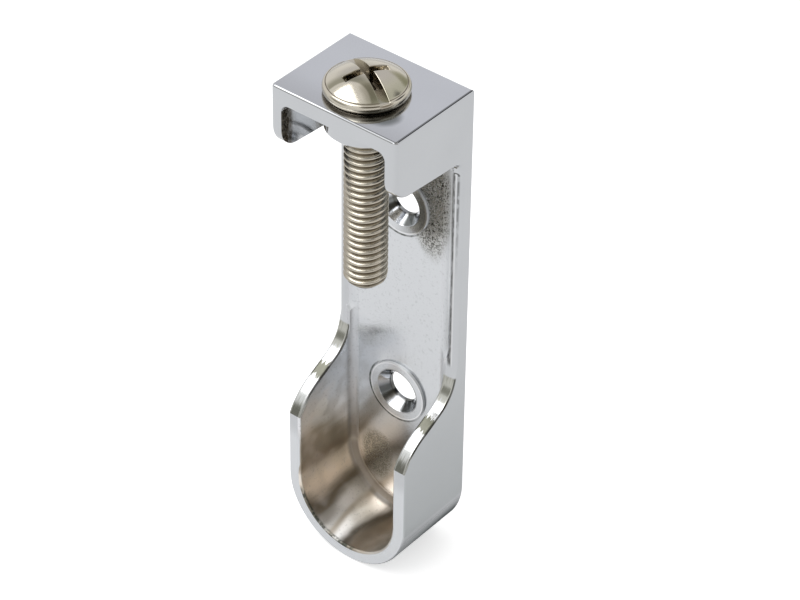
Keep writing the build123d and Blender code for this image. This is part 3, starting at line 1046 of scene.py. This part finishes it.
def pale_floor(stage):
    """White to the eye, with the object's shadow: a diffuse white whose seen share glows."""
    finish = Finish("floor")
    path = finish.node("ShaderNodeLightPath")
    to_camera = Field(finish, path.outputs["Is Camera Ray"]) * stage.floor_glow
    off_gloss = Field(finish, path.outputs["Is Glossy Ray"])
    to_metal = off_gloss + Field(finish, path.outputs["Is Transmission Ray"])
    glow = finish.node(
        "ShaderNodeEmission", None,
        {"Color": (1, 1, 1, 1), "Strength": to_camera + to_metal * stage.floor_gleam})
    chalk = finish.node("ShaderNodeBsdfDiffuse", None, {"Color": (0.8, 0.8, 0.8, 1)})
    both = finish.node("ShaderNodeAddShader", None, {0: glow.outputs[0], 1: chalk.outputs[0]})
    finish.node("ShaderNodeOutputMaterial", None, {"Surface": both.outputs[0]})
    return finish.material


def facing(place, aim):
    """Matrix of a lamp or card at place that looks at aim."""
    return Matrix.Translation(place) @ (aim - place).to_track_quat("-Z", "Y").to_matrix().to_4x4()


def soft_box(name, toward, far, size, power):
    data = bpy.data.lights.new(name, "AREA")
    data.shape = "RECTANGLE"
    data.size, data.size_y = size
    data.energy = power
    lamp = bpy.data.objects.new(name, data)
    lamp.matrix_world = facing(MIDDLE + toward * far, MIDDLE)
    bpy.context.scene.collection.objects.link(lamp)


def studio_card(name, toward, far, size, color):
    """A glowing card outside the picture that only the metal sees. Its cover falls to nothing at the edges, as
    the product of 1 - p^4 across and 1 - q^4 upwards, with p and q from -1 to 1."""
    finish = Finish(name)
    card_glow = finish.node("ShaderNodeEmission", None, {"Color": (*color, 1.0), "Strength": 1.0})
    cover = finish.node("ShaderNodeAttribute", {"attribute_name": "cover"})
    clear = finish.node("ShaderNodeBsdfTransparent")
    mixed = finish.node("ShaderNodeMixShader", None, {
        0: cover.outputs["Fac"], 1: clear.outputs[0], 2: card_glow.outputs[0]})
    finish.node("ShaderNodeOutputMaterial", None, {"Surface": mixed.outputs[0]})
    place = np.linspace(-1.0, 1.0, CARD_LINES)
    across, upward = np.meshgrid(place, place)
    points = np.stack((across * size[0] / 2, upward * size[1] / 2, 0.0 * across), axis=-1)
    mesh = grid_mesh(name, points, closed_columns=False)
    strength = mesh.attributes.new("cover", "FLOAT", "POINT")
    strength.data.foreach_set("value", ((1.0 - across**4) * (1.0 - upward**4)).ravel())
    mesh.transform(facing(MIDDLE + toward * far, MIDDLE))
    mesh.materials.append(finish.material)
    card = bpy.data.objects.new(name, mesh)
    card.visible_camera = False
    card.visible_diffuse = False
    card.visible_shadow = False
    bpy.context.scene.collection.objects.link(card)


class RAIL_OT_light_stage(bpy.types.Operator):
    """Set up the camera, the pale floor and the soft light"""

    bl_idname = "rail.light_stage"
    bl_label = "Light the stage"

    def execute(self, context):
        stage = context.scene.rail_stage
        context.scene.view_settings.view_transform = "Standard"
        place_camera(stage)
        white_surround(stage.surround)
        across, along = np.meshgrid((-FLOOR_REACH, FLOOR_REACH), (-FLOOR_REACH, FLOOR_REACH))
        points = np.stack((across, along, np.full_like(across, CUP_BOTTOM)), axis=-1)
        mesh = grid_mesh("floor", points, closed_columns=False)
        mesh.materials.append(pale_floor(stage))
        floor = bpy.data.objects.new("floor", mesh)
        context.scene.collection.objects.link(floor)
        soft_box("window", direction(*WINDOW_TOWARD), WINDOW_DISTANCE, WINDOW_SIZE, stage.window_power)
        for name, azimuth, elevation, far, wide, high, color in STUDIO_CARDS:
            studio_card(name, direction(azimuth, elevation), far, (wide, high), color)
        return {"FINISHED"}


class RAIL_PT_panel(bpy.types.Panel):
    """Lists the pieces and the stage"""

    bl_label = "Rail support"
    bl_idname = "RAIL_PT_panel"
    bl_space_type = "VIEW_3D"
    bl_region_type = "UI"
    bl_category = "Rail support"

    def draw(self, context):
        for group in ("rail_casting", "rail_screw", "rail_stage"):
            settings = getattr(context.scene, group)
            for name in settings.__annotations__:
                self.layout.prop(settings, name)
        for operator in OPERATORS:
            self.layout.operator(operator.bl_idname)


GROUPS = {"rail_casting": CastingFinish, "rail_screw": ScrewFinish, "rail_stage": StageSettings}
OPERATORS = (RAIL_OT_plate_bracket, RAIL_OT_make_screw, RAIL_OT_light_stage)


def register():
    for name, group in GROUPS.items():
        bpy.utils.register_class(group)
        setattr(bpy.types.Scene, name, bpy.props.PointerProperty(type=group))
    for operator in OPERATORS:
        bpy.utils.register_class(operator)
    bpy.utils.register_class(RAIL_PT_panel)


def unregister():
    bpy.utils.unregister_class(RAIL_PT_panel)
    for operator in reversed(OPERATORS):
        bpy.utils.unregister_class(operator)
    for name, group in GROUPS.items():
        delattr(bpy.types.Scene, name)
        bpy.utils.unregister_class(group)


def main():
    register()
    bpy.ops.rail.plate_bracket()
    bpy.ops.rail.make_screw()
    bpy.ops.rail.light_stage()


if __name__ == "__main__":
    main()
